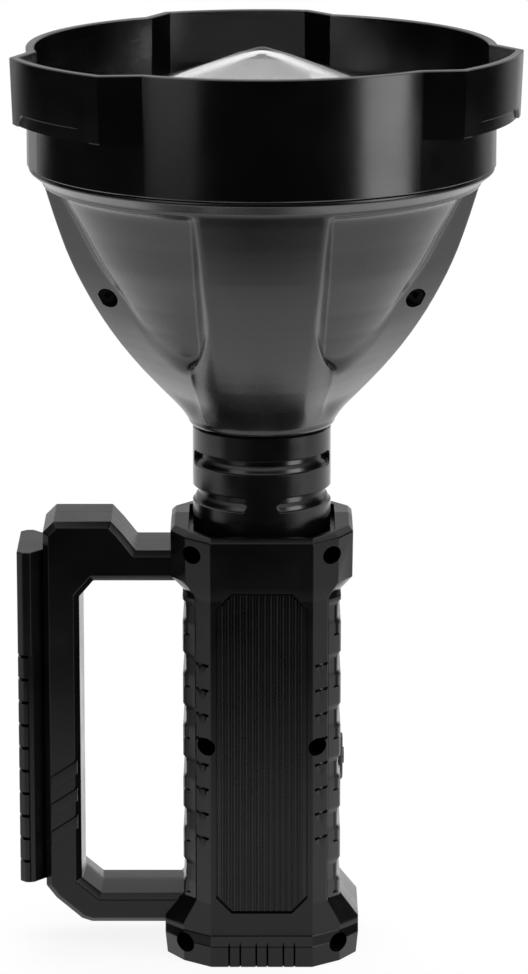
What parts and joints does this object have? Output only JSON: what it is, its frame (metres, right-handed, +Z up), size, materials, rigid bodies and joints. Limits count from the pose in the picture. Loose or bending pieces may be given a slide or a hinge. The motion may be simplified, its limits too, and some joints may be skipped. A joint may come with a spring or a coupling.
{
  "type": "hand-held rechargeable searchlight",
  "caption": "Hand-held rechargeable LED searchlight with a wide lobed head, a finned neck, an eight-sided body and a D-shaped side handle with a side lamp.",
  "frame": {"origin": "on the torch axis, at the underside of the base it stands on", "axes": "+Z up the torch axis towards the lens; -Y the front with the screw holes and the ribbed grip panel; the handle is at -X and the power button at +X"},
  "size_m": [0.1614, 0.1577, 0.297],
  "materials": {
    "bezel_plastic": "semi-gloss black moulding",
    "bell_plastic": "satin black moulding",
    "neck_metal": "black anodised, turned",
    "body_plastic": "fine-textured black ABS",
    "grip_rubber": "matte, ribbed",
    "side_rubber": "satin, bulged",
    "button_rubber": "satin",
    "cover_rubber": "matte",
    "lamp_housing_plastic": "satin black moulding",
    "lamp_diffuser": "frosted",
    "lamp_board": "phosphor strip on a white board",
    "lens_clear": "clear, polished",
    "reflector_mirror": "vacuum-plated",
    "gasket_silicone": "matte",
    "board_white": "white solder mask on an aluminium board",
    "led_phosphor": "silicone over phosphor",
    "spacer_nylon": "moulded",
    "board_green": "green solder mask",
    "cell_can": "shrink-wrapped can",
    "fibre_board": "pressed fibre",
    "port_metal": "nickel-plated",
    "screw_steel": "blackened"
  },
  "bodies": {
    "torch": {"bezel_ring": "bezel_plastic", "front_lens": "lens_clear", "lens_gasket": "gasket_silicone", "reflector": "reflector_mirror", "emitter_spacer": "spacer_nylon", "led_emitter": "led_phosphor", "emitter_board": "board_white", "bell_front_shell": "bell_plastic", "bell_rear_shell": "bell_plastic", "bell_screw_left": "screw_steel", "bell_screw_right": "screw_steel", "neck_heatsink": "neck_metal", "body_front_shell": "body_plastic", "body_rear_shell": "body_plastic", "body_screw_top_left": "screw_steel", "body_screw_top_right": "screw_steel", "body_screw_middle_left": "screw_steel", "body_screw_middle_right": "screw_steel", "body_screw_bottom_left": "screw_steel", "body_screw_bottom_right": "screw_steel", "front_grip_panel": "grip_rubber", "rear_grip_panel": "grip_rubber", "side_grip_left": "side_rubber", "side_grip_right": "side_rubber", "switch_board": "board_green", "driver_board": "board_green", "battery_cell_1": "cell_can", "battery_cell_2": "cell_can", "battery_cell_3": "cell_can", "battery_cell_4": "cell_can", "battery_tray": "fibre_board", "battery_contact_plate": "fibre_board", "charge_port": "port_metal", "side_lamp_housing": "lamp_housing_plastic", "side_lamp_board": "lamp_board", "side_lamp_diffuser": "lamp_diffuser"},
    "button": {"power_button": "button_rubber"},
    "cover": {"port_cover": "cover_rubber"}
  },
  "joints": [
    {"name": "power_button_press", "type": "slide", "parent": "torch", "child": "button", "axis": [-1, 0, 0], "range_m": [0, 0.0007], "stiffness_N_per_m": 900},
    {"name": "port_cover_hinge", "type": "hinge", "parent": "torch", "child": "cover", "pos_m": [0, 0.0285, 0.0226], "axis": [-1, 0, 0], "range_deg": [0, 110], "stiffness_Nm_per_rad": 0.002}
  ]
}
